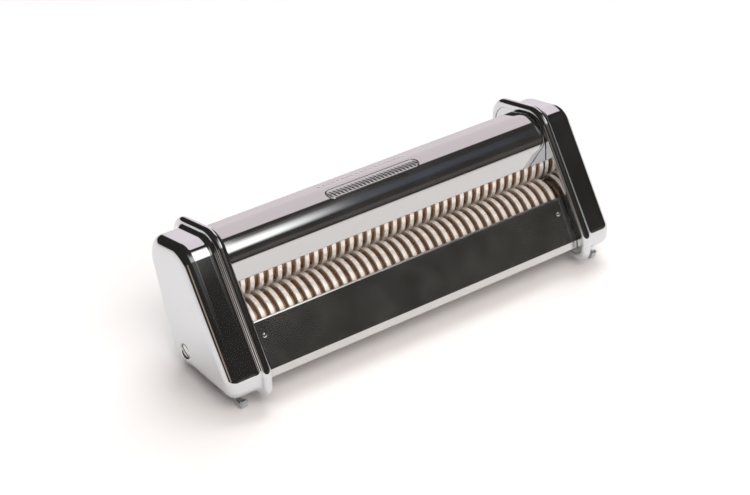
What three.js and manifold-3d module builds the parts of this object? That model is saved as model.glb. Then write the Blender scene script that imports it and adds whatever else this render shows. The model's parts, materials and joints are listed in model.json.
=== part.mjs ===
// Pasta cutter attachment for a hand-cranked pasta machine.
//
// Two interlocking grooved rollers turn between two side plates. Sheet panels cover them, deep-drawn
// end caps hide the gears and the crank socket, and two hooks hang the attachment on the machine.
//
// Millimetres, +Z up, +X towards the crank end, -Y towards the feed slot.
// Every piece is drawn in a side view: x points rearward, y points up, z points to the crank end.
// The side view group turns that into the world, tilted the way the attachment lies on a table:
// on its two hooks and on the rear lower edges of the cap rims.

import * as THREE from "three";
import { mergeVertices } from "three/addons/utils/BufferGeometryUtils.js";
import Module from "manifold-3d";

const wasm = await Module();
wasm.setup();

// ---------------------------------------------------------------- driving dimensions

const innerWidth = 150;          // between the inner faces of the side plates
const gap = 0.3;                 // running and assembly clearance
const plateThickness = 1.5;
const sheetThickness = 0.6;
const smallestRound = 0.35;
const restTilt = THREE.MathUtils.degToRad(4.2);

// Cap rim seen from the side: sharp corners and their radii.
const rimCorners = [
  { x: -25.2, y: 0, radius: 5.5 },
  { x: -25.7, y: 12.2, radius: 6 },
  { x: 4.0, y: 59.3, radius: 10 },
  { x: 38.0, y: 53.1, radius: 10 },
  { x: 22.2, y: 0, radius: 6 },
];

const beadWidth = 3.2;           // rolled edge of the cap, measured along X
const beadRound = 1.4;
const beadDepth = 3.0;           // from the crest of the bead in to the side plate's seat
const capDepth = 16.7;           // from the side plate's inner face to the cap's outer face
const wallInset = 3.0;           // cap wall, in from the crest of the bead
const capThickness = 1.2;
const capFillet = 4.5;
const capBossRadius = 5.3;       // metal behind the cap screw's recessed head

const rollerRadius = 10.5;
const grooveRadius = 8.4;
const rearRibCount = 37;
const ribPitch = (innerWidth - 2 * gap) / (rearRibCount - 0.5);
const ribWidth = 0.43 * ribPitch;
const frontAxis = { x: -0.6, y: 19.4 };
const rearAxis = { x: 10.9, y: 35.2 };

// Flat sides used to draw round things.
const rollerSides = 10;
const roundSides = 16;
const boltSides = 10;
const cutMargin = 1;             // how far a cutter runs past the metal it cuts

const journalRadius = 4;
const neckRadius = 3.2;          // roller ends outside the bushes
const bushBodyRadius = 5.6;
const bushFlangeRadius = 7;
const bushFlangeThickness = 1;

const toothCount = 16;
const gearWidth = 5;
const gearBacklash = 0.5;
const pressureAngle = THREE.MathUtils.degToRad(20);

const ringThickness = 0.8;
const ringRadius = 5.2;
const ringGrooveRadius = 2.5;

const socketRadius = 6.2;
const socketHexRadius = 4.3;
const socketSeat = 3.4;          // how far the socket reaches back over the roller's end
const socketPinRadius = 1;

const rodRadius = 2.2;
const rodThreadRadius = 1.7;
const rodHoleRadius = rodThreadRadius + gap;
const rodPlaces = {
  lower: { x: 9.9, y: 9.9 },
  front: { x: -9.8, y: 9.4 },
  upper: { x: 19.6, y: 23.4 },
};
const nutRadius = 3.2;
const nutThickness = 2.2;
const standoffRadius = 3.1;

const combThickness = 1;
const combTubeRadius = 3.3;
const fingerClearance = 0.35;    // from a finger to the floor of its groove
const fingerRootClearance = 0.7;
const fingerTip = 1.2;           // fingers stop this far from where they would touch

const screwHeadRadius = 3.3;
const screwHeadThickness = 1.1;
const screwShankRadius = 1.2;
const screwSlot = { width: 1, depth: 0.6 };

const hookPlace = { x: -15.5, z: 84.7 };
const hookThickness = 2.4;       // measured along X
const hookStrip = 2;             // width of the bent strip in the side view
const hookTop = 11;
const hookFootHeight = 9.5;
const hookSlot = { length: 9, height: 6 };

// ---------------------------------------------------------------- derived places

const halfInner = innerWidth / 2;
const plateOuter = halfInner + plateThickness;
const capOuter = halfInner + capDepth;
const capInner = capOuter - capThickness;
const threadEnd = plateOuter + gap + nutThickness + gap;
const centreLine = new THREE.Vector2(rearAxis.x - frontAxis.x, rearAxis.y - frontAxis.y);
const centreDistance = centreLine.length();
const gearModule = centreDistance / toothCount;

// ---------------------------------------------------------------- materials

function metal(color, roughness, metalness = 1) {
  return new THREE.MeshStandardMaterial({ color, roughness, metalness });
}

const finishes = {
  chrome: () => metal(0xd9dadc, 0.06),
  platedSteel: () => metal(0xb9babd, 0.25),
  rollerNickel: () => metal(0xd2b896, 0.22),
  zincSteel: () => metal(0xa7a9ac, 0.4),
  brass: () => metal(0xb08d4a, 0.35),
  gearSteel: () => metal(0x8c8f94, 0.45),
};

// ---------------------------------------------------------------- geometry helpers

function toSolid(geometry) {
  geometry.deleteAttribute("normal");
  geometry.deleteAttribute("uv");
  const merged = mergeVertices(geometry);
  return new wasm.Manifold(new wasm.Mesh({
    numProp: 3,
    vertProperties: new Float32Array(merged.attributes.position.array),
    triVerts: new Uint32Array(merged.index.array),
  }));
}

function toGeometry(solid) {
  const mesh = solid.getMesh();
  const geometry = new THREE.BufferGeometry();
  geometry.setAttribute("position", new THREE.BufferAttribute(new Float32Array(mesh.vertProperties), 3));
  geometry.setIndex(new THREE.BufferAttribute(new Uint32Array(mesh.triVerts), 1));
  geometry.computeVertexNormals();
  return geometry;
}

function piece(name, finish, geometry) {
  const mesh = new THREE.Mesh(geometry, finishes[finish]());
  mesh.name = name;
  return mesh;
}

// Cylinder along the side view's z, from z = from to z = to.
function rod(radius, from, to, place, sides = roundSides) {
  const geometry = new THREE.CylinderGeometry(radius, radius, to - from, sides);
  geometry.rotateX(Math.PI / 2);
  geometry.translate(place.x, place.y, (from + to) / 2);
  return geometry;
}

// Outline extruded along the side view's z, from z = from to z = to.
function slab(outline, from, to) {
  const options = { depth: to - from, bevelEnabled: false };
  return new THREE.ExtrudeGeometry(new THREE.Shape(outline), options).translate(0, 0, from);
}

// Closed skin over a stack of outlines with equal point counts: each layer is { z, outline }.
function loft(layers) {
  const count = layers[0].outline.length;
  const positions = layers.flatMap(({ z, outline }) => outline.flatMap((point) => [point.x, point.y, z]));
  const triangles = [];
  for (let layer = 0; layer + 1 < layers.length; layer += 1) {
    for (let index = 0; index < count; index += 1) {
      const next = (index + 1) % count;
      const low = layer * count;
      const high = low + count;
      triangles.push(low + index, high + next, low + next, low + index, high + index, high + next);
    }
  }
  const top = (layers.length - 1) * count;
  const lowLid = THREE.ShapeUtils.triangulateShape(layers[0].outline, []);
  const highLid = THREE.ShapeUtils.triangulateShape(layers[layers.length - 1].outline, []);
  lowLid.forEach(([a, b, c]) => triangles.push(c, b, a));
  highLid.forEach(([a, b, c]) => triangles.push(top + a, top + b, top + c));
  const geometry = new THREE.BufferGeometry();
  geometry.setAttribute("position", new THREE.Float32BufferAttribute(positions, 3));
  geometry.setIndex(triangles);
  return geometry;
}

// Layers of a quarter-round edge that starts at the given inset and z and turns inward.
function quarterRound(inset, z, radius, direction, steps) {
  const layers = [];
  for (let step = 0; step <= steps; step += 1) {
    const angle = (Math.PI / 2) * (step / steps);
    layers.push({
      z: z - direction * radius * (1 - Math.sin(angle)),
      outline: rimOutline(inset + radius * (1 - Math.cos(angle))),
    });
  }
  return layers;
}

function box(width, height, depth, x, y, z) {
  return new THREE.BoxGeometry(width, height, depth).translate(x, y, z);
}

// Points of an arc about a centre; angles in degrees, anticlockwise positive.
function arc(centre, radius, fromDegrees, toDegrees, steps) {
  const points = [];
  for (let step = 0; step <= steps; step += 1) {
    const angle = THREE.MathUtils.degToRad(fromDegrees + ((toDegrees - fromDegrees) * step) / steps);
    points.push(new THREE.Vector2(centre.x + radius * Math.cos(angle), centre.y + radius * Math.sin(angle)));
  }
  return points;
}

// Moves every edge of a clockwise polygon inward and shrinks its corner radii to match.
function insetCorners(corners, distance) {
  const count = corners.length;
  return corners.map((corner, index) => {
    const before = corners[(index + count - 1) % count];
    const after = corners[(index + 1) % count];
    const arriving = new THREE.Vector2(corner.x - before.x, corner.y - before.y).normalize();
    const leaving = new THREE.Vector2(after.x - corner.x, after.y - corner.y).normalize();
    const bisector = new THREE.Vector2(arriving.y + leaving.y, -arriving.x - leaving.x).normalize();
    const reach = distance / (bisector.x * arriving.y - bisector.y * arriving.x);
    return {
      x: corner.x + bisector.x * reach,
      y: corner.y + bisector.y * reach,
      radius: Math.max(corner.radius - distance, smallestRound),
    };
  });
}

// Replaces each sharp corner of a polygon with an arc.
function roundCorners(corners, steps = 3) {
  const points = [];
  const count = corners.length;
  corners.forEach((corner, index) => {
    const here = new THREE.Vector2(corner.x, corner.y);
    const before = corners[(index + count - 1) % count];
    const after = corners[(index + 1) % count];
    const back = new THREE.Vector2(before.x, before.y).sub(here).normalize();
    const ahead = new THREE.Vector2(after.x, after.y).sub(here).normalize();
    const halfAngle = Math.acos(back.dot(ahead)) / 2;
    const setback = corner.radius / Math.tan(halfAngle);
    const centre = here.clone().add(back.clone().add(ahead).setLength(corner.radius / Math.sin(halfAngle)));
    const start = here.clone().addScaledVector(back, setback).sub(centre);
    const end = here.clone().addScaledVector(ahead, setback).sub(centre);
    const sweep = Math.atan2(start.cross(end), start.dot(end));
    for (let step = 0; step <= steps; step += 1) {
      const spoke = start.clone().rotateAround(new THREE.Vector2(), (sweep * step) / steps);
      points.push(centre.clone().add(spoke));
    }
  });
  return points;
}

function rimOutline(inset) {
  return roundCorners(insetCorners(rimCorners, inset));
}

// Closed outline of a bent sheet: the given path is its outer face, the metal lies to its right.
function sheetOutline(path, thickness) {
  const back = path.map((point, index) => {
    const before = path[Math.max(index - 1, 0)];
    const after = path[Math.min(index + 1, path.length - 1)];
    const arriving = point.clone().sub(before);
    const leaving = after.clone().sub(point);
    if (arriving.lengthSq() === 0) arriving.copy(leaving);
    if (leaving.lengthSq() === 0) leaving.copy(arriving);
    const normalIn = new THREE.Vector2(arriving.y, -arriving.x).normalize();
    const normalOut = new THREE.Vector2(leaving.y, -leaving.x).normalize();
    const mean = normalIn.clone().add(normalOut).normalize();
    return point.clone().addScaledVector(mean, thickness / mean.dot(normalIn));
  });
  return [...path, ...back.reverse()];
}

function vec(x, y) {
  return new THREE.Vector2(x, y);
}

// ---------------------------------------------------------------- side plates and end caps

// Bush and tie rod holes, long enough to pass through both side plates.
function plateHoles() {
  const bores = [frontAxis, rearAxis].map((axis) => rod(bushBodyRadius + gap, -capOuter, capOuter, axis));
  const rodHoles = Object.values(rodPlaces).map(
    (place) => rod(rodHoleRadius, -capOuter, capOuter, place, boltSides),
  );
  return [...bores, ...rodHoles];
}

function sidePlate(name, side) {
  const near = side > 0 ? halfInner : -plateOuter;
  let solid = toSolid(slab(rimOutline(beadDepth + gap), near, near + plateThickness));
  plateHoles().forEach((hole) => {
    solid = solid.subtract(toSolid(hole));
  });
  return piece(name, "chrome", toGeometry(solid));
}

// Shape that fills the outline at one inset from z = from to z = to, with its far edge rounded.
function domed(inset, from, to, radius, steps) {
  const foot = { z: from, outline: rimOutline(inset) };
  return toSolid(loft([foot, ...quarterRound(inset, to, radius, 1, steps)]));
}

// Drawn for the crank end; the other cap is its mirror image.
function endCapSolid() {
  const beadInner = halfInner - gap;
  const seat = plateOuter + gap;
  const bead = toSolid(loft([
    ...quarterRound(0, beadInner, beadRound, -1, 2).reverse(),
    ...quarterRound(0, beadInner + beadWidth, beadRound, 1, 2),
  ]));
  const shell = domed(wallInset, beadInner + beadWidth / 2, capOuter, capFillet, 3);
  const recess = toSolid(slab(rimOutline(beadDepth), beadInner - cutMargin, seat));
  const cavity = domed(wallInset + capThickness, seat - cutMargin, capInner, capFillet - capThickness, 2);
  return bead.add(shell).subtract(recess).subtract(cavity);
}

function endCap(name, side) {
  const screwSeat = capOuter - screwHeadThickness - gap;
  const boss = rod(capBossRadius, screwSeat - capThickness, capInner + gap, rodPlaces.lower);
  const headRecess = rod(screwHeadRadius + gap, screwSeat, capOuter + cutMargin, rodPlaces.lower);
  const shankHole = rod(screwShankRadius + gap, plateOuter, capOuter, rodPlaces.lower, boltSides);
  const slotDepth = hookThickness + 2 * gap;
  const slot = box(hookSlot.length, hookSlot.height, slotDepth, hookPlace.x, wallInset, hookPlace.z);
  const crankHole = rod(socketRadius + 2 * gap, capInner - cutMargin, capOuter + cutMargin, frontAxis);
  const cuts = side > 0 ? [headRecess, shankHole, slot, crankHole] : [headRecess, shankHole, slot];
  let solid = endCapSolid().add(toSolid(boss));
  cuts.forEach((cut) => {
    solid = solid.subtract(toSolid(cut));
  });
  return piece(name, "chrome", toGeometry(side > 0 ? solid : solid.mirror([0, 0, 1])));
}

// ---------------------------------------------------------------- panels

const feedStripTop = 43.2;
const feedStripBottom = 38.2;
const ridgeRadius = 11.5;
const ridgeCentre = { x: 11.1, y: feedStripTop };
const ridgeArc = { from: 180, to: 77 };      // degrees round the ridge's centre, front to back
const panelBack = [vec(19.8, 53.0), vec(27.0, 45.2), vec(28.2, 43.0), vec(26.2, 36.5)];

const badgeCentre = { turn: 105.6, z: -4.4 };
const badgeLength = 43.4;
const badgeWidth = 5.6;
const badgeLift = 0.35;
const badgeSpread = 20;          // degrees of the ridge each side of the badge's middle

// Plain raised oval, bent round the ridge.
function badge() {
  const { turn, z } = badgeCentre;
  const band = arc(ridgeCentre, ridgeRadius + badgeLift, turn + badgeSpread, turn - badgeSpread, 10);
  const shell = toSolid(slab(sheetOutline(band, sheetThickness), -halfInner, halfInner));
  const straight = (badgeLength - badgeWidth) / 2;
  const oval = new THREE.Shape();
  oval.absarc(straight, 0, badgeWidth / 2, -Math.PI / 2, Math.PI / 2);
  oval.absarc(-straight, 0, badgeWidth / 2, Math.PI / 2, (3 * Math.PI) / 2);
  const options = { depth: 2 * ridgeRadius, bevelEnabled: false, curveSegments: 6 };
  const cutter = new THREE.ExtrudeGeometry(oval, options);
  cutter.rotateY(Math.PI / 2).rotateZ(THREE.MathUtils.degToRad(turn));
  cutter.translate(ridgeCentre.x, ridgeCentre.y, z);
  return shell.intersect(toSolid(cutter));
}

// Half-round ridge above the rear roller, with a straight lip down to the feed slot, a flat top behind it
// and a sloping back.
function topPanel() {
  const path = [
    vec(ridgeCentre.x - ridgeRadius, feedStripBottom),
    ...arc(ridgeCentre, ridgeRadius, ridgeArc.from, ridgeArc.to, 14),
    ...panelBack,
  ];
  const sheet = slab(sheetOutline(path, sheetThickness), gap - halfInner, halfInner - gap);
  return piece("top_panel", "chrome", toGeometry(toSolid(sheet).add(badge())));
}

const rivetPlace = { along: 5.5, fromEnd: 4.5 };
const rivetRadius = 0.7;
const rivetHeadRadius = 1.4;
const rivetHeadThickness = 0.6;
const rivetTail = 1;

const panelFlange = [vec(-12.6, 4.9), vec(-19.6, 5.4), vec(-20.6, 6.5)];
const panelFoot = vec(-20.2, 9.5);
const panelTop = vec(-10.9, 25.3);
const panelSlope = panelTop.clone().sub(panelFoot).normalize();

// Sloping front cover with a toe and a flange turned under the rollers.
function frontPanel() {
  const outline = sheetOutline([...panelFlange, panelFoot, panelTop], sheetThickness);
  let solid = toSolid(slab(outline, gap - halfInner, halfInner - gap));
  [-1, 1].forEach((side) => {
    solid = solid.subtract(toSolid(acrossPanel(rivetRadius + gap, -2 * sheetThickness, cutMargin, side)));
  });
  return piece("front_panel", "chrome", toGeometry(solid));
}

// Cylinder square to the front panel's slope, at the rivet near one end; zero height is the outer face.
function acrossPanel(radius, from, to, side) {
  const place = panelTop.clone().addScaledVector(panelSlope, -rivetPlace.along);
  const geometry = new THREE.CylinderGeometry(radius, radius, to - from, boltSides);
  geometry.translate(0, (from + to) / 2, 0);
  geometry.rotateZ(panelSlope.angle());
  geometry.translate(place.x, place.y, side * (halfInner - rivetPlace.fromEnd));
  return geometry;
}

function panelRivet(name, side) {
  const head = toSolid(acrossPanel(rivetHeadRadius, gap / 2, gap / 2 + rivetHeadThickness, side));
  const shank = toSolid(acrossPanel(rivetRadius, -sheetThickness - rivetTail, gap, side));
  return piece(name, "platedSteel", toGeometry(head.add(shank)));
}

// ---------------------------------------------------------------- cutting rollers

// Radius against z for the ribbed body between the side plates.
function ribProfile(ribCentres) {
  const bodyEnd = halfInner - gap;
  const profile = [];
  ribCentres.forEach((centre) => {
    const start = centre - ribWidth / 2;
    const end = centre + ribWidth / 2;
    profile.push(vec(grooveRadius, start), vec(rollerRadius, start));
    profile.push(vec(rollerRadius, end), vec(grooveRadius, end));
  });
  return [vec(grooveRadius, -bodyEnd), ...profile, vec(grooveRadius, bodyEnd)];
}

// Journal and neck outside one end of the body, from the body outward, with a groove for a retaining ring.
function endProfile(ringPlace, endPlace) {
  const journalEnd = plateOuter + bushFlangeThickness + 2 * gap;
  const profile = [
    vec(journalRadius, halfInner - gap),
    vec(journalRadius, journalEnd),
    vec(neckRadius, journalEnd),
  ];
  if (ringPlace !== null) {
    const grooveEnd = ringPlace + ringThickness + gap;
    profile.push(
      vec(neckRadius, ringPlace - gap),
      vec(ringGrooveRadius, ringPlace - gap),
      vec(ringGrooveRadius, grooveEnd),
      vec(neckRadius, grooveEnd),
    );
  }
  profile.push(vec(neckRadius, endPlace), vec(0, endPlace));
  return profile;
}

function ribCentres(count) {
  return Array.from({ length: count }, (_, index) => (index - (count - 1) / 2) * ribPitch);
}

function rollerSolid(ribCount, leftRing, leftEnd, rightRing, rightEnd) {
  const left = endProfile(leftRing, leftEnd).map((point) => vec(point.x, -point.y)).reverse();
  const profile = [...left, ...ribProfile(ribCentres(ribCount)), ...endProfile(rightRing, rightEnd)];
  return toSolid(new THREE.LatheGeometry(profile, rollerSides).rotateX(Math.PI / 2));
}

// ---------------------------------------------------------------- gears, rings and crank socket

const gearStart = threadEnd + 2 * gap;
const gearEnd = gearStart + gearWidth;
const leftRingPlace = gearEnd + 2 * gap;
const rightRingPlace = plateOuter + bushFlangeThickness + 4 * gap;
const neckTail = 1.6;            // roller end beyond its ring
const socketStart = plateOuter + bushFlangeThickness + 4 * gap;
const socketEnd = capOuter - 2 * gap;
const socketPinPlace = socketStart + socketSeat / 2;

// Straight-flanked spur gear with a tooth centred on +x.
function gearOutline() {
  const pitchRadius = (gearModule * toothCount) / 2;
  const tipRadius = pitchRadius + gearModule;
  const rootRadius = pitchRadius - 1.25 * gearModule;
  const halfThickness = (Math.PI * gearModule) / 4 - gearBacklash / 2;
  const halfAngle = (radius) => (halfThickness + (pitchRadius - radius) * Math.tan(pressureAngle)) / radius;
  const flanks = [[rootRadius, -1], [tipRadius, -1], [tipRadius, 1], [rootRadius, 1]];
  const points = [];
  for (let tooth = 0; tooth < toothCount; tooth += 1) {
    flanks.forEach(([radius, flank]) => {
      const angle = (2 * Math.PI * tooth) / toothCount + flank * halfAngle(radius);
      points.push(vec(radius * Math.cos(angle), radius * Math.sin(angle)));
    });
  }
  return points;
}

const onAxis = { x: 0, y: 0 };

function gear(name, turn) {
  const teeth = toSolid(slab(gearOutline(), -gearEnd, -gearStart));
  const bore = toSolid(rod(neckRadius + gap, -capOuter, 0, onAxis));
  const mesh = piece(name, "gearSteel", toGeometry(teeth.subtract(bore)));
  mesh.rotation.z = turn;
  return mesh;
}

// Open ring that snaps into a roller end's groove.
function retainingRing(name, from) {
  const disc = toSolid(rod(ringRadius, from, from + ringThickness, onAxis));
  const hole = toSolid(rod(ringGrooveRadius + gap, -capOuter, capOuter, onAxis, boltSides));
  const mouth = toSolid(box(2 * ringRadius, 2 * ringGrooveRadius, 2 * capOuter, ringRadius, 0, 0));
  return piece(name, "platedSteel", toGeometry(disc.subtract(hole).subtract(mouth)));
}

function pinHole(radius) {
  const geometry = new THREE.CylinderGeometry(radius, radius, 3 * socketRadius, boltSides);
  return toSolid(geometry.translate(0, 0, socketPinPlace));
}

function crankSocket() {
  const body = toSolid(rod(socketRadius, socketStart, socketEnd, onAxis));
  const seat = toSolid(rod(neckRadius + gap, 0, socketStart + socketSeat + gap, onAxis));
  const hex = toSolid(rod(socketHexRadius, socketStart + socketSeat, socketEnd + cutMargin, onAxis, 6));
  const bored = body.subtract(seat).subtract(hex).subtract(pinHole(socketPinRadius + gap));
  return piece("crank_socket", "platedSteel", toGeometry(bored));
}

function crankSocketPin() {
  const pinLength = 2 * socketRadius - gap;
  const geometry = new THREE.CylinderGeometry(socketPinRadius, socketPinRadius, pinLength, boltSides);
  return piece("crank_socket_pin", "zincSteel", geometry.translate(0, 0, socketPinPlace));
}

function spinning(axis, ...meshes) {
  const group = new THREE.Group();
  group.position.set(axis.x, axis.y, 0);
  group.add(...meshes);
  return group;
}

function frontRollerGroup() {
  const leftEnd = leftRingPlace + ringThickness + neckTail;
  const solid = rollerSolid(rearRibCount - 1, leftRingPlace, leftEnd, null, socketStart + socketSeat - gap);
  const drilled = solid.subtract(pinHole(socketPinRadius + gap));
  return spinning(
    frontAxis,
    piece("front_cutting_roller", "rollerNickel", toGeometry(drilled)),
    gear("front_roller_gear", centreLine.angle()),
    retainingRing("front_roller_left_ring", -leftRingPlace - ringThickness),
    crankSocket(),
    crankSocketPin(),
  );
}

function rearRollerGroup() {
  const leftEnd = leftRingPlace + ringThickness + neckTail;
  const rightEnd = rightRingPlace + ringThickness + neckTail;
  const solid = rollerSolid(rearRibCount, leftRingPlace, leftEnd, rightRingPlace, rightEnd);
  return spinning(
    rearAxis,
    piece("rear_cutting_roller", "rollerNickel", toGeometry(solid)),
    gear("rear_roller_gear", centreLine.angle() + Math.PI + Math.PI / toothCount),
    retainingRing("rear_roller_left_ring", -leftRingPlace - ringThickness),
    retainingRing("rear_roller_right_ring", rightRingPlace),
  );
}

function bush(name, axis, side) {
  const seat = plateOuter + gap / 2;
  const body = toSolid(rod(bushBodyRadius, halfInner + gap, seat + gap, axis));
  const flange = toSolid(rod(bushFlangeRadius, seat, seat + bushFlangeThickness, axis));
  const bore = toSolid(rod(journalRadius + gap, 0, capOuter, axis));
  const solid = body.add(flange).subtract(bore);
  return piece(name, "brass", toGeometry(side > 0 ? solid : solid.mirror([0, 0, 1])));
}

// ---------------------------------------------------------------- tie rods and their fasteners

function tieRod(name, place) {
  const shaft = toSolid(rod(rodRadius, gap - halfInner, halfInner - gap, place));
  const thread = toSolid(rod(rodThreadRadius, -threadEnd, threadEnd, place, boltSides));
  return piece(name, "zincSteel", toGeometry(shaft.add(thread)));
}

function nut(name, place, side) {
  const from = plateOuter + gap;
  const body = toSolid(rod(nutRadius, from, from + nutThickness, place, 6));
  const hole = toSolid(rod(rodHoleRadius, 0, capOuter, place, boltSides));
  const solid = body.subtract(hole);
  return piece(name, "zincSteel", toGeometry(side > 0 ? solid : solid.mirror([0, 0, 1])));
}

const screwTip = threadEnd + 2;

// Long hexagonal nut on the lower rod: the cap's screw goes into its outer end.
function capStandoff(name, side) {
  const place = rodPlaces.lower;
  const to = capOuter - screwHeadThickness - capThickness - 2 * gap;
  const body = toSolid(rod(standoffRadius, plateOuter + gap, to, place, 6));
  const rodHole = toSolid(rod(rodHoleRadius, 0, threadEnd + gap, place, boltSides));
  const screwHole = toSolid(rod(screwShankRadius + gap, screwTip - gap, capOuter, place, boltSides));
  const solid = body.subtract(rodHole).subtract(screwHole);
  return piece(name, "zincSteel", toGeometry(side > 0 ? solid : solid.mirror([0, 0, 1])));
}

function capScrew(name, side) {
  const headStart = capOuter - screwHeadThickness;
  const { x, y } = rodPlaces.lower;
  const head = toSolid(rod(screwHeadRadius, headStart, capOuter, rodPlaces.lower));
  const shank = toSolid(rod(screwShankRadius, screwTip, headStart + gap, rodPlaces.lower, boltSides));
  const slot = toSolid(box(screwSlot.width, 3 * screwHeadRadius, 2 * screwSlot.depth, x, y, capOuter));
  const solid = head.add(shank).subtract(slot);
  return piece(name, "platedSteel", toGeometry(side > 0 ? solid : solid.mirror([0, 0, 1])));
}

// ---------------------------------------------------------------- combs

// Scraper on a tie rod: its fingers lie along the tangent from the rod to the roller's groove floors.
function comb(name, axis, place, ribCount, tangentSide) {
  const spoke = vec(place.x - axis.x, place.y - axis.y);
  const touchRadius = grooveRadius + fingerClearance;
  const openAngle = Math.acos(touchRadius / spoke.length());
  const touchAngle = spoke.angle() + tangentSide * openAngle;
  const tangentLength = Math.sqrt(spoke.lengthSq() - touchRadius ** 2);
  const halfChord = Math.sqrt(rollerRadius ** 2 - touchRadius ** 2);
  const placeOnTangent = (geometry) => {
    geometry.rotateZ(touchAngle);
    return toSolid(geometry.translate(axis.x, axis.y, 0));
  };
  const combWidth = innerWidth - 2 * gap;
  const plate = box(
    combThickness, tangentLength - fingerTip, combWidth,
    touchRadius + combThickness / 2, (-tangentSide * (tangentLength + fingerTip)) / 2, 0,
  );
  let solid = placeOnTangent(plate);
  solid = solid.add(toSolid(rod(combTubeRadius, -combWidth / 2, combWidth / 2, place)));
  solid = solid.subtract(toSolid(rod(rodRadius + gap, -halfInner, halfInner, place)));
  const slotLength = halfChord + fingerRootClearance;
  ribCentres(ribCount).forEach((centre) => {
    const slot = box(
      4 * combThickness, slotLength, ribWidth + 2 * gap,
      touchRadius, (-tangentSide * slotLength) / 2, centre,
    );
    solid = solid.subtract(placeOnTangent(slot));
  });
  return piece(name, "platedSteel", toGeometry(solid));
}

// ---------------------------------------------------------------- hooks

// J-shaped hook that hangs below the cap, with a foot that holds it to the side plate.
function hook(name, side) {
  const back = hookPlace.x + hookStrip;
  const path = [
    vec(back, hookTop),
    vec(back, -1.6),
    vec(back - 1.4, -3.2),
    vec(back - 5, -3.2),
    vec(back - 6.4, -1),
  ];
  const outline = sheetOutline(path, hookStrip);
  const plate = toSolid(slab(outline, hookPlace.z - hookThickness / 2, hookPlace.z + hookThickness / 2));
  const footStart = plateOuter + gap;
  const footLength = hookPlace.z - footStart;
  const footMiddle = footStart + footLength / 2;
  const foot = box(hookStrip, hookStrip, footLength, back - hookStrip / 2, hookFootHeight, footMiddle);
  const solid = plate.add(toSolid(foot));
  return piece(name, "platedSteel", toGeometry(side > 0 ? solid : solid.mirror([0, 0, 1])));
}

// ---------------------------------------------------------------- assembly

const sides = [["left", -1], ["right", 1]];

const sideView = new THREE.Group();
sideView.rotation.set(Math.PI / 2, Math.PI / 2, 0);
sideView.add(topPanel(), frontPanel());
sides.forEach(([word, side]) => {
  sideView.add(
    sidePlate(`${word}_side_plate`, side),
    endCap(`${word}_end_cap`, side),
    capStandoff(`${word}_cap_standoff`, side),
    capScrew(`${word}_cap_screw`, side),
    hook(`${word}_hook`, side),
    panelRivet(`${word}_panel_rivet`, side),
    bush(`front_roller_${word}_bush`, frontAxis, side),
    bush(`rear_roller_${word}_bush`, rearAxis, side),
    nut(`front_rod_${word}_nut`, rodPlaces.front, side),
    nut(`upper_rod_${word}_nut`, rodPlaces.upper, side),
  );
});
Object.entries(rodPlaces).forEach(([word, place]) => sideView.add(tieRod(`${word}_tie_rod`, place)));
sideView.add(
  comb("front_roller_comb", frontAxis, rodPlaces.lower, rearRibCount - 1, 1),
  comb("rear_roller_comb", rearAxis, rodPlaces.upper, rearRibCount, -1),
  frontRollerGroup(),
  rearRollerGroup(),
);

// Tilt the attachment the way it lies, then stand it on z = 0 with the middle of its box over the origin.
const attachment = new THREE.Group();
attachment.rotation.x = -restTilt;
attachment.add(sideView);

const assembly = new THREE.Group();
assembly.add(attachment);
const bounds = new THREE.Box3().setFromObject(assembly, true);
const middle = bounds.getCenter(new THREE.Vector3());
attachment.position.set(0, -middle.y, -bounds.min.z);

export default assembly;
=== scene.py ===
# Looks for the pasta cutter attachment: chromed sheet-metal housing, two grooved cutting rollers and
# their fittings, on a pale floor.
#
# Every piece is drawn in the cutter's own side view, in millimetres: x points rearward, y points up and
# z runs along the rollers towards the crank end. SIDE_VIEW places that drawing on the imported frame, by
# the two roller axes that the frame's joints give.

import json
import math

import bmesh
import bpy
from mathutils import Matrix, Vector


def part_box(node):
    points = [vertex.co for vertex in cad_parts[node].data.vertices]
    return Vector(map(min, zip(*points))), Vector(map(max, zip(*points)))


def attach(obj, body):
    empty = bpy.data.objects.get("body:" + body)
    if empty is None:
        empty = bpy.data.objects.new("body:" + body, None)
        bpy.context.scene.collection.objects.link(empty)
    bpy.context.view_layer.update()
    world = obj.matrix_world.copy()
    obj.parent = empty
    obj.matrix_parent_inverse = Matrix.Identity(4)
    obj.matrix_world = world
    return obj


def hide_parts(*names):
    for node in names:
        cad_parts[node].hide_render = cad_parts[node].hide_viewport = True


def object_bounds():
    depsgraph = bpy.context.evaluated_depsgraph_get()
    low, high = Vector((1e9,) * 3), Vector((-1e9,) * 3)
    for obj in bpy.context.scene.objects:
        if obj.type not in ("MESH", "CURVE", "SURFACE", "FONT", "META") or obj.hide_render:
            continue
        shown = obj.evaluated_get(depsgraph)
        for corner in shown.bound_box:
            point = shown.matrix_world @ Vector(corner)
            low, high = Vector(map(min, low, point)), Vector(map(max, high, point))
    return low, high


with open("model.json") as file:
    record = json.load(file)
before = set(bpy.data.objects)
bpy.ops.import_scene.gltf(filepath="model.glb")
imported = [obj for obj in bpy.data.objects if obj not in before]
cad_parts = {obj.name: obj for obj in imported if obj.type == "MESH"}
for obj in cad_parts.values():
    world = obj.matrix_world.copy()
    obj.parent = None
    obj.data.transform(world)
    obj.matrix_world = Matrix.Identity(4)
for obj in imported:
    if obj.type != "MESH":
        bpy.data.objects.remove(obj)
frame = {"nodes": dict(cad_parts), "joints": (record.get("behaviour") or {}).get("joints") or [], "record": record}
cad_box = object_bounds()

MM = 0.001

# ---------------------------------------------------------------- driving dimensions, in millimetres

FRONT_AXIS = Vector((-0.6, 19.4))
REAR_AXIS = Vector((10.9, 35.2))

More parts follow.
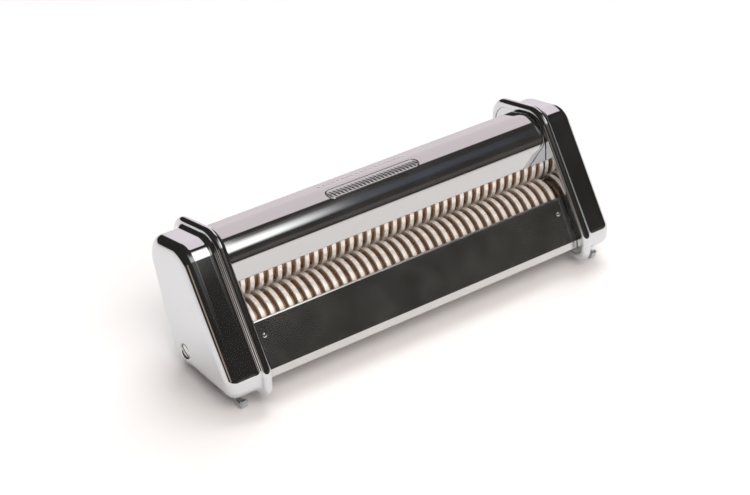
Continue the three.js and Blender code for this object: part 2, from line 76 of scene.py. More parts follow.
# Sharp corners of the end cap's rim in the side view, clockwise, with their radii.
RIM_CORNERS = [
    (-25.2, 0.0, 5.5), (-25.7, 12.2, 6.0), (4.0, 59.3, 10.0), (38.0, 53.1, 10.0), (22.2, 0.0, 6.0),
]

PLATE_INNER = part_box("right_side_plate")[0].x / MM
PLATE_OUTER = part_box("right_side_plate")[1].x / MM
CAP_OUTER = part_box("right_end_cap")[1].x / MM
PANEL_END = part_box("top_panel")[1].x / MM

SHEET = 0.6                      # thickness of the panels
CUT_PAST = 1.0                   # how far a cutter reaches past the face that it cuts

BEAD_RADIUS = 2.1                # rolled edge of the cap
BEAD_DEPTH = 3.0                 # from the crest of the bead in to the plate's seat
WALL_INSET = 3.0                 # cap wall, in from the crest of the bead
WALL_ROOT = 2.4                  # hollow round between the bead and the wall
CAP_FILLET = 4.5                 # between the cap's wall and its outer face
CAP_METAL = 1.2
CORNER_SOFTENING = 0.45          # how fast a cap's corner radii shrink with each millimetre inward

PLATE_PLAY = 0.06                # between a side plate's edge and the cap's rim
BUSH_BORE = 5.9                  # radius of the side plates' holes for the rollers' bushes

ROD_PLACES = {"lower": Vector((9.9, 9.9)), "front": Vector((-9.8, 9.4)), "upper": Vector((19.6, 23.4))}
ROD_RADIUS = 2.2
SCREW_PLACE = ROD_PLACES["lower"]
SCREW_RADIUS = 2.6
SCREW_SINK = 0.9                 # depth of the dimple that the screw's head sits in
SCREW_GAP = 0.35                 # between the head and the dimple
DOME_GAP = 6                     # degrees that a dome stops short of its axis, where a flat closes it

HOOK_BACK = -13.5                # rear face of a hook's strip
HOOK_START, HOOK_END = 83.5, 85.9
HOOK_PLAY = 0.3                  # between a hook and its slot's ends, and between its foot and the plate

CRANK_HOLE_RADIUS = 6.8
SOCKET_RADIUS = 6.2
HEXAGON_RADIUS = 4.3             # of the socket's hexagon, to its corners

ROLLER_RADIUS = 10.5
GROOVE_RADIUS = 8.4
SHAFT_RADIUS = 3.2
SHOULDER_RADIUS = 4.0            # the shaft where it runs in its bushes
SHOULDER_END = 78.2
REAR_RIBS = 37                   # the front roller has one less
RIB_PITCH = 2 * PANEL_END / (REAR_RIBS - 0.5)
RIB_WIDTH = 0.475 * RIB_PITCH    # a little under half, so that the two rollers' ribs mesh
RIB_EDGE = 0.22                  # rounding of a rib's edges

RIDGE_CENTRE = Vector((11.1, 43.2))
RIDGE_RADIUS = 11.5
RIDGE_END = 77.0                 # where the ridge runs into the flat top, degrees round its centre
TOP_EDGE = Vector((19.8, 53.0))  # rear edge of the flat top
TOP_BEND = 2.0
TOP_BACK = [(27.0, 45.2, 2.0), (28.0, 42.6, 1.5), (26.4, 37.0, 0)]  # down the back, with bend radii
STRIP_BOTTOM = 38.2              # lower edge of the upright strip in front

BADGE_TURN = 105.6               # degrees round the ridge
BADGE_PLACE = -4.4               # along the rollers
BADGE_LENGTH = 43.4
BADGE_WIDTH = 5.6
REAR_ROW = 7.5                   # from the badge's middle back along the panel to the rear row of beads
RIM_HEIGHT = 0.20
OVAL_BEADS = {"height": 0.17, "width": 4.2, "pitch": 1.7}
REAR_BEADS = {"height": 0.17, "width": 3.0, "pitch": 2.2}
BEAD_SLANT = 0.5

PANEL_TOE = [(-12.6, 4.9, 0), (-19.6, 5.4, 0.8), (-20.5, 6.4, 0.5)]  # turned under, with bend radii
PANEL_FOOT = Vector((-20.2, 9.5))
PANEL_TOP = Vector((-10.9, 25.3))


def side_view_matrix():
    """Side view in millimetres to the frame in metres, from the two roller axes."""
    places = {joint["name"]: Vector(joint["pos_m"]) for joint in frame["joints"]}
    front = places["front_roller_spin"]
    rear = places["rear_roller_spin"]
    drawn = math.atan2(REAR_AXIS.y - FRONT_AXIS.y, REAR_AXIS.x - FRONT_AXIS.x)
    placed = math.atan2(rear.z - front.z, rear.y - front.y)
    turn = placed - drawn
    along_x = Vector((0, math.cos(turn), math.sin(turn))) * MM
    along_y = Vector((0, -math.sin(turn), math.cos(turn))) * MM
    along_z = Vector((1, 0, 0)) * MM
    matrix = Matrix((along_x, along_y, along_z)).transposed().to_4x4()
    middle = (FRONT_AXIS + REAR_AXIS) / 2
    matrix.translation = (front + rear) / 2 - matrix.to_3x3() @ Vector((middle.x, middle.y, 0))
    return matrix


SIDE_VIEW = side_view_matrix()

# ---------------------------------------------------------------- mesh helpers

SHARP_DEGREES = 35               # an edge bent further than this is shaded sharp


def new_piece(name, points, faces, sharp_degrees=SHARP_DEGREES):
    """Smooth-shaded mesh piece from points in the side view."""
    mesh = bpy.data.meshes.new(name)
    mesh.from_pydata([SIDE_VIEW @ Vector(point) for point in points], [], faces)
    shape = bmesh.new()
    shape.from_mesh(mesh)
    bmesh.ops.recalc_face_normals(shape, faces=shape.faces)
    shape.to_mesh(mesh)
    shape.free()
    mesh.shade_smooth()
    mesh.set_sharp_from_angle(angle=math.radians(sharp_degrees))
    piece = bpy.data.objects.new(name, mesh)
    bpy.context.scene.collection.objects.link(piece)
    return piece


def apply_modifiers(piece):
    """Bakes a piece's modifiers into its mesh."""
    bpy.context.view_layer.update()
    evaluated = piece.evaluated_get(bpy.context.evaluated_depsgraph_get())
    mesh = bpy.data.meshes.new_from_object(evaluated)
    piece.modifiers.clear()
    piece.data = mesh


def flatten_shading(piece):
    """Leans vertex normals towards the larger faces, so that flats next to fillets stay flat."""
    weighted = piece.modifiers.new("weighted", "WEIGHTED_NORMAL")
    weighted.keep_sharp = True
    weighted.weight = 100
    apply_modifiers(piece)


def cut(piece, tool):
    """Takes the tool's shape out of a piece and deletes the tool."""
    boolean = piece.modifiers.new("cut", "BOOLEAN")
    boolean.operation = "DIFFERENCE"
    boolean.solver = "EXACT"
    boolean.object = tool
    apply_modifiers(piece)
    bpy.data.objects.remove(tool)
    piece.data.set_sharp_from_angle(angle=math.radians(SHARP_DEGREES))


def on_side(part, side):
    """Points and faces of a part drawn for the crank end, mirrored when side is -1."""
    points, faces = part
    return [(x, y, side * z) for x, y, z in points], faces


def loft(rings):
    """Points and faces of a skin over rings with equal point counts, with a flat lid on each end."""
    count = len(rings[0])
    points = [point for ring in rings for point in ring]
    faces = []
    for level in range(len(rings) - 1):
        for index in range(count):
            following = (index + 1) % count
            low, high = level * count, (level + 1) * count
            faces.append((low + index, low + following, high + following, high + index))
    faces.append(tuple(range(count)))
    faces.append(tuple(range((len(rings) - 1) * count, len(rings) * count)))
    return points, faces


def closed_lathe(profile, centre, segments):
    """Points and faces of a profile of (radius, z) turned about an axis along z through centre, with a
    flat lid on each end."""
    count = len(profile)
    foot = Vector((centre.x, centre.y, 0))
    points = []
    for step in range(segments):
        angle = 2 * math.pi * step / segments
        spoke = Vector((math.cos(angle), math.sin(angle), 0))
        points += [foot + spoke * radius + Vector((0, 0, z)) for radius, z in profile]
    faces = []
    for step in range(segments):
        low, high = step * count, ((step + 1) % segments) * count
        for index in range(count - 1):
            faces.append((low + index, high + index, high + index + 1, low + index + 1))
    faces.append(tuple(step * count for step in range(segments)))
    faces.append(tuple(step * count + count - 1 for step in range(segments)))
    return points, faces


def merge(*parts):
    """Joins several (points, faces) pairs into one."""
    points, faces = [], []
    for part_points, part_faces in parts:
        start = len(points)
        points.extend(part_points)
        faces.extend(tuple(start + index for index in face) for face in part_faces)
    return points, faces


def arc(centre, radius, start, end, steps):
    """Points of an arc, with angles in degrees."""
    turns = [math.radians(start + (end - start) * step / steps) for step in range(steps + 1)]
    return [centre + radius * Vector((math.cos(turn), math.sin(turn))) for turn in turns]


def corner_arc(before, corner, after, steps):
    """Points that round a (x, y, radius) corner between its neighbours."""
    here = Vector(corner[:2])
    back = (Vector(before[:2]) - here).normalized()
    ahead = (Vector(after[:2]) - here).normalized()
    half = back.angle(ahead) / 2
    reach = corner[2] / math.tan(half)
    centre = here + (back + ahead).normalized() * (corner[2] / math.sin(half))
    start = here + back * reach - centre
    end = here + ahead * reach - centre
    sweep = math.atan2(start.x * end.y - start.y * end.x, start.dot(end))
    points = []
    for step in range(steps + 1):
        turn = sweep * step / steps
        spoke = Vector((
            start.x * math.cos(turn) - start.y * math.sin(turn),
            start.x * math.sin(turn) + start.y * math.cos(turn),
        ))
        points.append(centre + spoke)
    return points


def rounded(corners, steps):
    """Closed outline from (x, y, radius) corners, each replaced by an arc."""
    outline = []
    for index, corner in enumerate(corners):
        outline += corner_arc(corners[index - 1], corner, corners[(index + 1) % len(corners)], steps)
    return outline


def bent_path(corners, steps):
    """Open path from (x, y, radius) corners; the first and last stay sharp."""
    path = [Vector(corners[0][:2])]
    for before, corner, after in zip(corners, corners[1:], corners[2:]):
        path += corner_arc(before, corner, after, steps)
    path.append(Vector(corners[-1][:2]))
    return path


def sheet_outline(path, thickness, edge_steps=6):
    """Closed outline of a bent sheet with round edges: path is its outer face, metal on its right."""
    normals = []
    for index, point in enumerate(path):
        before = path[max(index - 1, 0)]
        after = path[min(index + 1, len(path) - 1)]
        along = (after - before).normalized()
        normals.append(Vector((along.y, -along.x)))
    back = [point + normal * thickness for point, normal in zip(path, normals)]
    half = thickness / 2

    def edge(point, normal, direction):
        centre = point + normal * half
        forward = Vector((-normal.y, normal.x)) * direction
        angles = [math.pi * step / edge_steps for step in range(1, edge_steps)]
        return [centre - normal * half * math.cos(a) + forward * half * math.sin(a) for a in angles]

    far = edge(path[-1], normals[-1], 1)
    near = edge(path[0], normals[0], -1)
    return path + far + back[::-1] + near[::-1]


def extrude(outline, start, end, edge=0.0):
    """Skin over an outline swept along z. An edge above 0 adds a ring of points that far in from each
    end, which keeps the shading of the long faces even."""
    rings = [[(p.x, p.y, z) for p in outline] for z in (start, start + edge, end - edge, end)]
    if edge == 0:
        rings = [rings[0], rings[3]]
    return loft(rings)


# ---------------------------------------------------------------- materials

# Noise values taken as the least and the most of what the noise drives.
HAZE_LIMITS = (0.35, 0.7)
FILM_LIMITS = (0.42, 0.62)
THINNEST_FILM = 0.6              # as a share of the film at its thickest


def shader(name):
    """New node material: (material, nodes, links, principled shader)."""
    material = bpy.data.materials.new(name)
    material.use_nodes = True
    tree = material.node_tree
    return material, tree.nodes, tree.links, tree.nodes["Principled BSDF"]


def noise(nodes, links, vector, scale, detail=3.0):
    node = nodes.new("ShaderNodeTexNoise")
    node.inputs["Scale"].default_value = scale
    node.inputs["Detail"].default_value = detail
    links.new(vector, node.inputs["Vector"])
    return node.outputs["Fac"]


def remap(nodes, links, value, low, high, out_low, out_high):
    node = nodes.new("ShaderNodeMapRange")
    links.new(value, node.inputs["Value"])
    node.inputs["From Min"].default_value = low
    node.inputs["From Max"].default_value = high
    node.inputs["To Min"].default_value = out_low
    node.inputs["To Max"].default_value = out_high
    return node.outputs["Result"]


def mix_colour(nodes, links, factor, first, second):
    node = nodes.new("ShaderNodeMix")
    node.data_type = "RGBA"
    links.new(factor, node.inputs["Factor"])
    node.inputs["A"].default_value = (*first, 1)
    node.inputs["B"].default_value = (*second, 1)
    return node.outputs["Result"]


def bump(nodes, links, height, distance, below=None):
    node = nodes.new("ShaderNodeBump")
    node.inputs["Distance"].default_value = distance
    node.inputs["Strength"].default_value = 1.0
    links.new(height, node.inputs["Height"])
    if below is not None:
        links.new(below, node.inputs["Normal"])
    return node.outputs["Normal"]


def stretched(nodes, links, coordinates, scale):
    node = nodes.new("ShaderNodeMapping")
    node.inputs["Scale"].default_value = scale
    links.new(coordinates, node.inputs["Vector"])
    return node.outputs["Vector"]


def metal(name, dark, light, roughness, spread, wave=(0.0, 0.0), grain=(0.0, (1, 1, 1)), film=0.0):
    """Metal whose colour and roughness drift with handling marks.

    wave is (height in metres, patches per metre) of slow unevenness; grain is (height in metres,
    stretch of a fine scratch pattern along X, Y and Z). film is the share of light that the thickest
    patches of a thin greasy film scatter widely.
    """
    material, nodes, links, principled = shader(name)
    principled.inputs["Metallic"].default_value = 1.0
    place = nodes.new("ShaderNodeTexCoord").outputs["Object"]
    smudges = noise(nodes, links, place, scale=55, detail=5)
    links.new(mix_colour(nodes, links, smudges, dark, light), principled.inputs["Base Color"])
    haze = noise(nodes, links, place, scale=140, detail=6)
    clean, hazy = max(roughness - spread, 0.0), roughness + spread
    links.new(remap(nodes, links, haze, *HAZE_LIMITS, clean, hazy), principled.inputs["Roughness"])
    if film > 0:
        patches = noise(nodes, links, place, scale=38, detail=2)
        thin, thick = 1.0 - THINNEST_FILM * film, 1.0 - film
        links.new(remap(nodes, links, patches, *FILM_LIMITS, thin, thick), principled.inputs["Metallic"])
    normal = None
    if wave[0] > 0:
        normal = bump(nodes, links, noise(nodes, links, place, scale=wave[1], detail=1), wave[0])
    if grain[0] > 0:
        scratches = noise(nodes, links, stretched(nodes, links, place, grain[1]), scale=1.0, detail=4)
        normal = bump(nodes, links, scratches, grain[0], normal)
    if normal is not None:
        links.new(normal, principled.inputs["Normal"])
    return material


def distance_from_axis(nodes, links, axis):
    """Distance of the shaded point from a roller's axis, in metres."""
    offset = nodes.new("ShaderNodeVectorMath")
    offset.operation = "SUBTRACT"
    links.new(nodes.new("ShaderNodeTexCoord").outputs["Object"], offset.inputs[0])
    offset.inputs[1].default_value = SIDE_VIEW @ Vector((axis.x, axis.y, 0))
    across = nodes.new("ShaderNodeVectorMath")
    across.operation = "MULTIPLY"
    links.new(offset.outputs["Vector"], across.inputs[0])
    across.inputs[1].default_value = (0, 1, 1)
    radius = nodes.new("ShaderNodeVectorMath")
    radius.operation = "LENGTH"
    links.new(across.outputs["Vector"], radius.inputs[0])
    return radius.outputs["Value"]


def roller_metal(name, axis):
    """Matt nickel: painted shade with brown stain darkens the groove floors; the rib crests keep the bare colour.
    """
    # Groove floor colour: painted shade in the deep grooves together with brown stain.
    groove_shade_and_stain = (0.50, 0.345, 0.245)
    floor_metallic, crest_metallic = 0.82, 0.42
    floor_edge = (GROOVE_RADIUS + 0.3) * MM
    crest_edge = (ROLLER_RADIUS - 0.25) * MM
    material = metal(
        name, (0.80, 0.73, 0.65), (0.97, 0.93, 0.88), roughness=0.26, spread=0.06,
        grain=(0.000004, (6000, 500, 500)),
    )
    nodes, links = material.node_tree.nodes, material.node_tree.links
    principled = nodes["Principled BSDF"]
    crest_colour = principled.inputs["Base Color"].links[0].from_socket
    height = remap(nodes, links, distance_from_axis(nodes, links, axis), floor_edge, crest_edge, 0, 1)
    # Blends from the painted groove shade and stain at the floors to the metal colour at the crests.
    shaded_and_stained = nodes.new("ShaderNodeMix")
    shaded_and_stained.data_type = "RGBA"
    links.new(height, shaded_and_stained.inputs["Factor"])
    shaded_and_stained.inputs["A"].default_value = (*groove_shade_and_stain, 1)
    links.new(crest_colour, shaded_and_stained.inputs["B"])
    links.new(shaded_and_stained.outputs["Result"], principled.inputs["Base Color"])
    metallic = remap(nodes, links, height, 0, 1, floor_metallic, crest_metallic)
    links.new(metallic, principled.inputs["Metallic"])
    return material


def make_materials():
    return {
        # The top panel's chrome is a darker copy of the caps' chrome: painted shade that dims its reflections.
        "ridge_chrome": metal(
            "ridge_chrome", (0.53, 0.535, 0.54), (0.565, 0.565, 0.565), roughness=0.035, spread=0.02,
            wave=(0.00004, 30), grain=(0.0000008, (3500, 3500, 3500)), film=0.045,
        ),
        "chrome": metal(
            "mirror_chrome", (0.625, 0.64, 0.665), (0.665, 0.675, 0.695), roughness=0.035, spread=0.02,
            wave=(0.00004, 30), grain=(0.0000008, (3500, 3500, 3500)), film=0.015,
        ),
        "panel_chrome": metal(
            "drawn_chrome", (0.56, 0.555, 0.54), (0.61, 0.60, 0.585), roughness=0.17, spread=0.03,
            wave=(0.00003, 30), grain=(0.000001, (400, 6000, 6000)), film=0.037,
        ),
        "plated_steel": metal(
            "nickel_plate", (0.60, 0.59, 0.57), (0.70, 0.69, 0.67), roughness=0.20, spread=0.08,
            grain=(0.000004, (2500, 2500, 2500)),
        ),
        "front_roller_nickel": roller_metal("front_roller_nickel", FRONT_AXIS),
        "rear_roller_nickel": roller_metal("rear_roller_nickel", REAR_AXIS),
        "zinc_steel": metal(
            "zinc_plate", (0.48, 0.49, 0.50), (0.62, 0.63, 0.64), roughness=0.36, spread=0.10,
            grain=(0.00001, (1800, 1800, 1800)),
        ),
        "brass": metal(
            "turned_brass", (0.52, 0.38, 0.16), (0.66, 0.50, 0.24), roughness=0.30, spread=0.08,
            grain=(0.000006, (5000, 800, 800)),
        ),
        "gear_steel": metal(
            "oiled_steel", (0.26, 0.26, 0.27), (0.38, 0.38, 0.39), roughness=0.34, spread=0.10,
            grain=(0.000008, (3000, 3000, 3000)),
        ),
    }


MATERIALS = make_materials()
SLOTS = {entry["node"]: entry["material_slot"] for entry in frame["record"]["subparts"]}


def finish(piece, material, body, node):
    """Dresses a piece in one material, rides it on its body and hides the CAD node that it stands for."""
    piece.data.materials.clear()
    piece.data.materials.append(MATERIALS[material])
    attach(piece, body)
    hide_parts(node)


def dress_node(node, material):
    """Gives a carried-over CAD node its procedural material."""
    mesh = frame["nodes"][node].data
    mesh.materials.clear()
    mesh.materials.append(MATERIALS[material])


# ---------------------------------------------------------------- end caps and side plates


def inset_corner(index, inset):
    """A sharp corner of the rim after both edges that meet there have moved inward."""
    here = Vector(RIM_CORNERS[index][:2])
    arriving = (here - Vector(RIM_CORNERS[index - 1][:2])).normalized()
    leaving = (Vector(RIM_CORNERS[(index + 1) % len(RIM_CORNERS)][:2]) - here).normalized()
    inward_before = Vector((arriving.y, -arriving.x))
    inward_after = Vector((leaving.y, -leaving.x))
    bisector = (inward_before + inward_after).normalized()
    return here + bisector * (inset / bisector.dot(inward_before))


def rim_outline(inset, steps=12):
    """Rim outline moved inward; corner radii shrink more slowly than the inset, as in a deep-drawn cap."""
    share_of_edge = 0.48         # the most of an edge that one corner's round may take up
    places = [inset_corner(index, inset) for index in range(len(RIM_CORNERS))]
    corners = []
    for index, here in enumerate(places):
        back = places[index - 1] - here
        ahead = places[(index + 1) % len(places)] - here
        room = share_of_edge * min(back.length, ahead.length) * math.tan(back.angle(ahead) / 2)
        radius = RIM_CORNERS[index][2] - CORNER_SOFTENING * inset
        corners.append((here.x, here.y, min(radius, room)))
    return rounded(corners, steps)


def cap_profile():
    """(inset, distance along z) from the flat inner face, out over the rim, to the flat outer face."""
    lid_edge = 0.5
    seat_play = 0.4
    guide = 0.6
    lip_round = 0.3
    lip_step = 0.05
    narrow_band = 0.4
    inner_face = CAP_OUTER - CAP_METAL
    inner_fillet = CAP_FILLET - CAP_METAL
    inner_wall = WALL_INSET + CAP_METAL
    lip = PANEL_END
    seat = PLATE_OUTER + seat_play
    profile = [Vector((inner_wall + inner_fillet + lid_edge, inner_face))]
    inner_centre = Vector((inner_wall + inner_fillet, inner_face - inner_fillet))
    profile += arc(inner_centre, inner_fillet, 90, 180, steps=5)
    profile += [Vector((inner_wall, seat + guide)), Vector((inner_wall, seat))]
    profile += [Vector((BEAD_DEPTH, seat)), Vector((BEAD_DEPTH, lip + lip_round + lip_step))]
    profile += arc(Vector((BEAD_DEPTH - lip_round, lip + lip_round)), lip_round, 0, -90, steps=3)
    bead = Vector((BEAD_RADIUS, lip + BEAD_RADIUS))
    offset = Vector((WALL_INSET - WALL_ROOT - bead.x, 0))
    offset.y = math.sqrt((BEAD_RADIUS + WALL_ROOT) ** 2 - offset.x ** 2)
    meeting = math.degrees(math.atan2(offset.y, offset.x))
    profile += arc(bead, BEAD_RADIUS, -90, meeting - 360, steps=24)
    profile += arc(bead + offset, WALL_ROOT, meeting - 180, 0, steps=10)[1:]
    profile.append(Vector((WALL_INSET, profile[-1].y + narrow_band)))
    profile.append(Vector((WALL_INSET, CAP_OUTER - CAP_FILLET - narrow_band)))
    profile += arc(Vector((WALL_INSET + CAP_FILLET, CAP_OUTER - CAP_FILLET)), CAP_FILLET, 180, 90, steps=20)
    profile.append(Vector((WALL_INSET + CAP_FILLET + lid_edge, CAP_OUTER)))
    return profile


def cutter(part, side):
    """Piece that only cuts, from a part drawn for the crank end."""
    return new_piece("cutter", *on_side(part, side))


def round_edged_hole(centre, radius, depth, edge, flare, steps, segments):
    """Cutter for a round hole in a cap's outer face, whose edge is rounded."""
    profile = [(radius, CAP_OUTER - depth)]
    for point in arc(Vector((radius + edge, CAP_OUTER - edge)), edge, 180, 90, steps):
        profile.append((point.x, point.y))
    profile.append((radius + edge + flare, CAP_OUTER + CUT_PAST))
    return closed_lathe(profile, centre, segments)


def screw_dimple():
    """Cutter for the dimple that the cap screw's head sits in."""
    radius = SCREW_RADIUS + SCREW_GAP
    return round_edged_hole(SCREW_PLACE, radius, SCREW_SINK, edge=0.7, flare=0.1, steps=6, segments=48)


def crank_hole():
    """Cutter for the crank's hole in the right cap."""
    return round_edged_hole(
        FRONT_AXIS, CRANK_HOLE_RADIUS, depth=3.0, edge=0.5, flare=0.2, steps=5, segments=64,
    )


def hook_slot():
    """Cutter for the slot under the cap that its hook hangs through."""
    front, rear = -20.0, -11.0
    low, high = 1.0, 7.6
    corner = 0.3
    corners = [(front, low, corner), (front, high, corner), (rear, high, corner), (rear, low, corner)]
    return extrude(rounded(corners, steps=4), HOOK_START - HOOK_PLAY, HOOK_END + HOOK_PLAY)


def end_cap(name, side):
    """Deep-drawn shell: flat outer face, wall, and a rolled bead round the side plate's edge."""
    rings = []
    for place in cap_profile():
        rings.append([(point.x, point.y, side * place.y) for point in rim_outline(place.x)])
    cap = new_piece(name + "_shell", *loft(rings))
    cut(cap, cutter(screw_dimple(), side))
    cut(cap, cutter(hook_slot(), side))
    if side > 0:
        cut(cap, cutter(crank_hole(), side))
    flatten_shading(cap)
    finish(cap, "chrome", "housing", name)


def side_plate(name, side):
    """Flat plate inside the cap's rim, bored for the rollers' bushes."""
    outline = rim_outline(BEAD_DEPTH + PLATE_PLAY)
    rings = [[(p.x, p.y, side * z) for p in outline] for z in (PLATE_INNER, PLATE_OUTER)]
    plate = new_piece(name + "_sheet", *loft(rings))
    bore = [(BUSH_BORE, PLATE_INNER - CUT_PAST), (BUSH_BORE, PLATE_OUTER + CUT_PAST)]
    for axis in (FRONT_AXIS, REAR_AXIS):
        cut(plate, cutter(closed_lathe(bore, axis, segments=48), side))
    flatten_shading(plate)
    finish(plate, "chrome", "housing", name)


# ---------------------------------------------------------------- panels


def sheet_piece(name, path, material):
    """Panel bent along a path, spanning the side plates."""
    outline = sheet_outline(path, SHEET)
    points, faces = extrude(outline, -PANEL_END, PANEL_END, edge=0.15)
    piece = new_piece(name + "_sheet", points, faces, sharp_degrees=50)
    flatten_shading(piece)
    finish(piece, material, "housing", name)


def top_panel():
    """Upright strip, round ridge, flat top and sloping back, bent from one sheet."""
    ridge = arc(RIDGE_CENTRE, RIDGE_RADIUS, 180, RIDGE_END, steps=44)
    flat = [(ridge[-1].x, ridge[-1].y, 0), (TOP_EDGE.x, TOP_EDGE.y, TOP_BEND)]
    back = bent_path(flat + TOP_BACK, steps=8)
    front = RIDGE_CENTRE.x - RIDGE_RADIUS
    below_ridge = 0.4            # from the strip's last point up to where the ridge starts
    strip = [Vector((front, STRIP_BOTTOM)), Vector((front, RIDGE_CENTRE.y - below_ridge))]
    sheet_piece("top_panel", strip + ridge + back[1:], "ridge_chrome")


def front_panel():
    """Sloping panel with a turned toe and a rolled top edge."""
    slope = [(PANEL_FOOT.x, PANEL_FOOT.y, 0.7), (PANEL_TOP.x, PANEL_TOP.y, 0.5)]
    hem = PANEL_TOP + Vector((0.55, 0.6))
    tuck = PANEL_TOP + Vector((1.3, -0.2))
    roll = [(hem.x, hem.y, 0.35), (tuck.x, tuck.y, 0)]
    path = bent_path(PANEL_TOE + slope + roll, steps=6)
    sheet_piece("front_panel", path, "panel_chrome")


def bead_row(beads, along, across):
    """Height in a row of slanted beads, in millimetres."""
    if abs(across) > beads["width"] / 2:
        return 0.0
    row = math.cos(math.pi * across / beads["width"]) ** 1.5
    bead = math.cos(math.pi * (along + BEAD_SLANT * across) / beads["pitch"]) ** 2
    return beads["height"] * row * bead


def badge_height(along, across):
    """Height of the badge's relief, in millimetres, at a place measured from the middle of its oval:
    a raised rim, a row of slanted beads inside it, and another row of beads behind the oval."""
    rim_place, rim_width = 0.35, 0.2
    beads_start, beads_fade = 0.8, 0.3
    rear_overhang = 2            # how far the rear row goes past the oval's straight edges
    straight = (BADGE_LENGTH - BADGE_WIDTH) / 2
    beyond = max(abs(along) - straight, 0.0)
    edge = BADGE_WIDTH / 2 - math.hypot(beyond, across)
    if edge > 0:
        rim = RIM_HEIGHT * math.exp(-((edge - rim_place) / rim_width) ** 2)
        inside = min(max((edge - beads_start) / beads_fade, 0.0), 1.0)
        return rim + inside * bead_row(OVAL_BEADS, along, across)
    if abs(along) < straight + rear_overhang:
        return bead_row(REAR_BEADS, along, across - REAR_ROW)
    return 0.0


def top_point(distance):
    """Place and outward normal on the top panel, at a distance along it behind the badge's middle."""
    to_flat = math.radians(BADGE_TURN - RIDGE_END) * RIDGE_RADIUS
    turn = math.radians(BADGE_TURN) - min(distance, to_flat) / RIDGE_RADIUS
    normal = Vector((math.cos(turn), math.sin(turn)))
    beyond = max(distance - to_flat, 0.0)
    return RIDGE_CENTRE + normal * RIDGE_RADIUS + Vector((normal.y, -normal.x)) * beyond, normal


def badge():
    """Fine patch of the top panel that carries the badge's relief, with a skirt sunk into the panel."""
    columns, rows = 420, 140
    lift, skirt = 0.008, -0.05
    end_margin, front_margin, back_margin = 2.0, 0.6, 1.7
    half_length = BADGE_LENGTH / 2 + end_margin
    front, back = -BADGE_WIDTH / 2 - front_margin, REAR_ROW + back_margin
    points, faces = [], []
    for row in range(rows + 1):
        inner_row = min(max(row, 1), rows - 1)
        across = front + (back - front) * (inner_row - 1) / (rows - 2)
        base, normal = top_point(across)
        for column in range(columns + 1):
            inner_column = min(max(column, 1), columns - 1)
            along = half_length * (2 * (inner_column - 1) / (columns - 2) - 1)
            on_skirt = row != inner_row or column != inner_column
            place = base + normal * (skirt if on_skirt else lift + badge_height(along, across))
            points.append((place.x, place.y, BADGE_PLACE + along))
    for row in range(rows):
        for column in range(columns):
            corner = row * (columns + 1) + column
            faces.append((corner, corner + 1, corner + columns + 2, corner + columns + 1))
    patch = new_piece("top_panel_badge", points, faces, sharp_degrees=80)
    finish(patch, "ridge_chrome", "housing", "top_panel")


def panel_rivet(name, side):
    """Low domed rivet near an upper corner of the front panel."""
    radius, dome = 1.0, 0.35
    edge = 0.05
    shank, shank_length = 0.7, 1.6
    below_top, from_plate = 5.5, 4.5
    slope = (PANEL_TOP - PANEL_FOOT).normalized()
    outward = Vector((-slope.y, slope.x))
    place = PANEL_TOP - slope * below_top
    quarter = arc(Vector((0, 0)), radius, DOME_GAP, 90, steps=12)
    profile = [(point.y, edge + dome * point.x) for point in quarter]
    profile += [(shank, 0.0), (shank, -shank_length)]
    points, faces = closed_lathe(profile, Vector((0, 0)), segments=32)
    placed = []
    for along, across, height in points:
        spot = place + slope * along + outward * height
        placed.append((spot.x, spot.y, side * (PLATE_INNER - from_plate) + across))
    rivet = new_piece(name + "_domed", placed, faces)
    finish(rivet, "plated_steel", "housing", name)


# ---------------------------------------------------------------- rollers


def rib_centres(count):
    return [(index - (count - 1) / 2) * RIB_PITCH for index in range(count)]


def rib_profile(centre):
    """One rib with rounded edges, from groove floor to groove floor."""
    half = RIB_WIDTH / 2
    rise = ROLLER_RADIUS - RIB_EDGE
    profile = [(GROOVE_RADIUS, centre - half)]
    for point in arc(Vector((centre - half + RIB_EDGE, rise)), RIB_EDGE, 180, 90, steps=3):
        profile.append((point.y, point.x))
    for point in arc(Vector((centre + half - RIB_EDGE, rise)), RIB_EDGE, 90, 0, steps=3):
        profile.append((point.y, point.x))
    profile.append((GROOVE_RADIUS, centre + half))
    return profile


def roller(name, body, axis, ribs):
    """Grooved roller with its shaft, turned from one bar."""
    low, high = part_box(name)
    left, right = low.x / MM, high.x / MM
    chamfer, end_radius = 0.3, 2.9
    end_play = 0.05
    shoulder_slope = 0.1
    body_end = PANEL_END - end_play
    shoulder = SHOULDER_END - shoulder_slope
    profile = [(end_radius, left), (SHAFT_RADIUS, left + chamfer), (SHAFT_RADIUS, -SHOULDER_END)]
    profile += [(SHOULDER_RADIUS, -shoulder), (SHOULDER_RADIUS, -body_end), (GROOVE_RADIUS, -body_end)]
    for centre in rib_centres(ribs):
        profile += rib_profile(centre)
    profile += [(GROOVE_RADIUS, body_end), (SHOULDER_RADIUS, body_end), (SHOULDER_RADIUS, shoulder)]
    profile += [(SHAFT_RADIUS, SHOULDER_END), (SHAFT_RADIUS, right - chamfer), (end_radius, right)]
    turned = new_piece(name + "_turned", *closed_lathe(profile, axis, segments=128), sharp_degrees=50)
    flatten_shading(turned)
    finish(turned, body + "_nickel", body, name)


# ---------------------------------------------------------------- fasteners, rods, combs, hooks, socket


def screw_slot():
    """Cutter for the slot across the cap screw's head."""
    depth, half_width, half_length = 0.6, 0.4, 4.5
    turn = math.radians(35)
    along = Vector((math.cos(turn), math.sin(turn))) * half_length
    across = Vector((-math.sin(turn), math.cos(turn))) * half_width
    corners = [along + across, along - across, -along - across, across - along]
    corners = [SCREW_PLACE + corner for corner in corners]
    return extrude(corners, CAP_OUTER - depth, CAP_OUTER + CUT_PAST)


